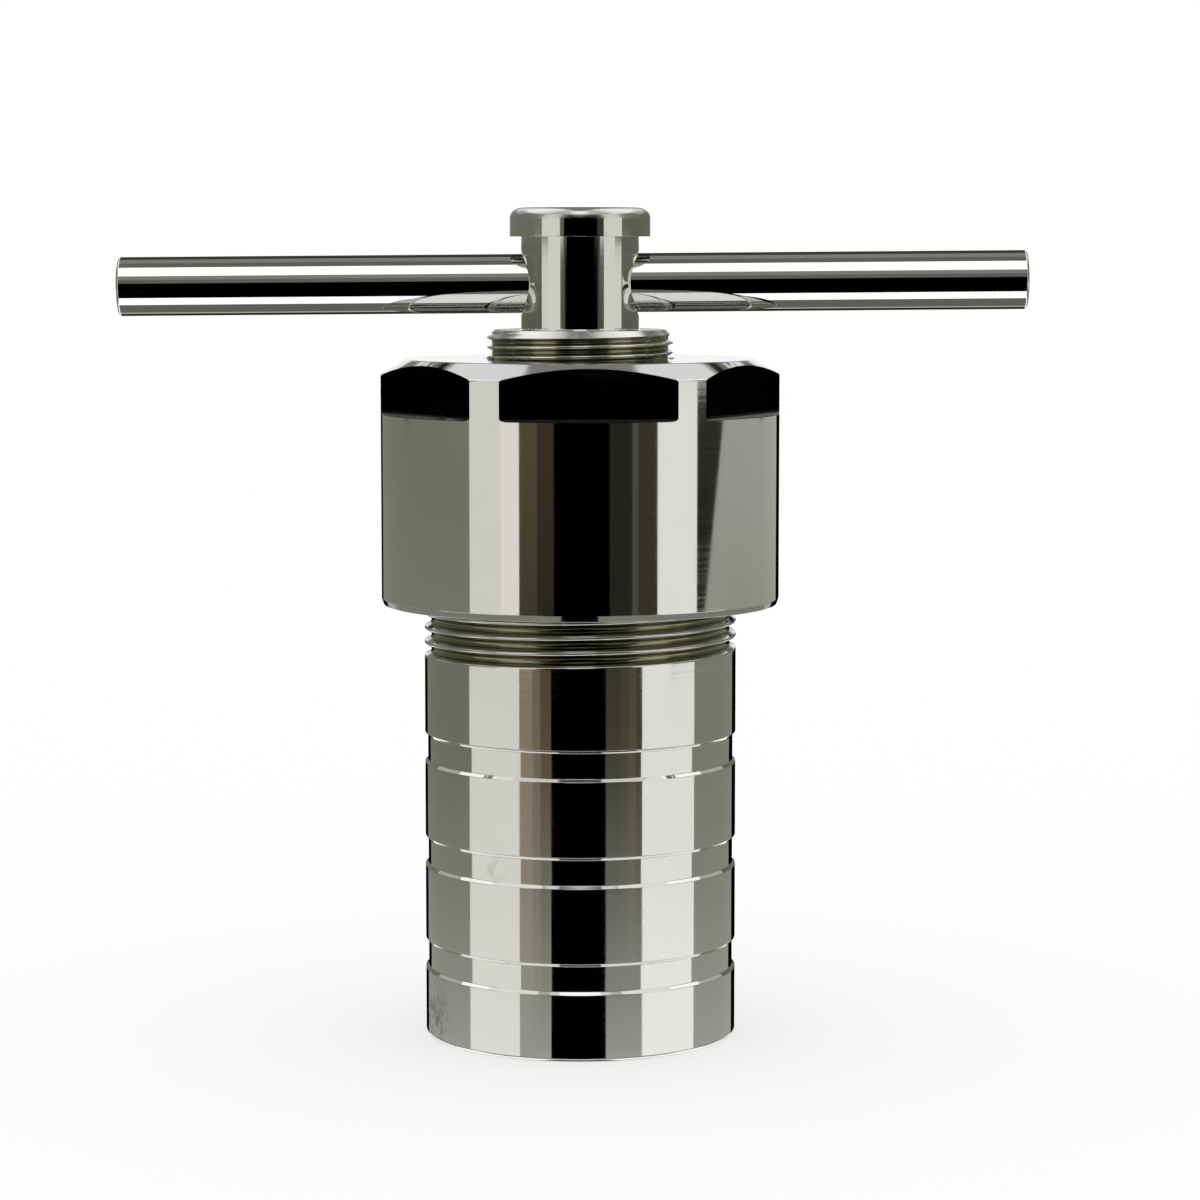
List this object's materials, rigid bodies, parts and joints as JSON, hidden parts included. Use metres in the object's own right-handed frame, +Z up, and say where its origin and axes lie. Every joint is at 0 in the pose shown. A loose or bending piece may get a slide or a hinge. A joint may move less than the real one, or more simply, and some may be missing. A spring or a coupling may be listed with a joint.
{
  "type": "hydrothermal reactor",
  "caption": "Screw-capped steel pressure shell with a PTFE cup inside, a central pressure screw and a sliding T-bar handle that clamps the lid for heating sealed solutions.",
  "frame": {"origin": "on the shell's axis, in the plane of the base that the reactor stands on, which is the mouth of the push-out hole", "axes": "+Z up along the shell, cap and pressure screw; X along the T-bar, whose +X end sits slightly higher; -Y faces the viewer, with one wrench flat turned 3 degrees from it"},
  "size_m": [0.185, 0.0814, 0.1696],
  "materials": {
    "turned_steel": "stainless steel, turned and polished to a near mirror, with fine marks round the axis",
    "polished_bar": "stainless round bar, polished along its length",
    "pad_steel": "stainless steel, faced on the lathe, satin",
    "spring_steel": "blackened spring steel",
    "ptfe": "turned PTFE, waxy white"
  },
  "bodies": {
    "shell": {"shell_body": "turned_steel", "bottom_pad": "pad_steel", "liner_cup": "ptfe", "liner_lid": "ptfe", "top_pad": "pad_steel"},
    "cap": {"cap": "turned_steel"},
    "plate": {"pressure_plate": "pad_steel"},
    "screw": {"pressure_screw": "turned_steel", "retaining_ring": "spring_steel"},
    "bar": {"t_bar": "polished_bar"}
  },
  "joints": [
    {"name": "cap_lift", "type": "slide", "parent": "shell", "child": "cap", "axis": [0, 0, 1], "range_m": [0, 0.045]},
    {"name": "screw_feed", "type": "slide", "parent": "cap", "child": "plate", "axis": [0, 0, 1], "range_m": [0, 0.004]},
    {"name": "screw_turn", "type": "hinge", "parent": "plate", "child": "screw", "pos_m": [0, 0, 0.13], "axis": [0, 0, 1], "range_deg": [0, 720]},
    {"name": "bar_slide", "type": "slide", "parent": "screw", "child": "bar", "axis": [1, 0, 0.0079], "range_m": [-0.0765, 0.0795]}
  ],
  "couplings": [
    {"joint": "screw_feed", "follows": "screw_turn", "m_per_rad": 0.0003183}
  ]
}
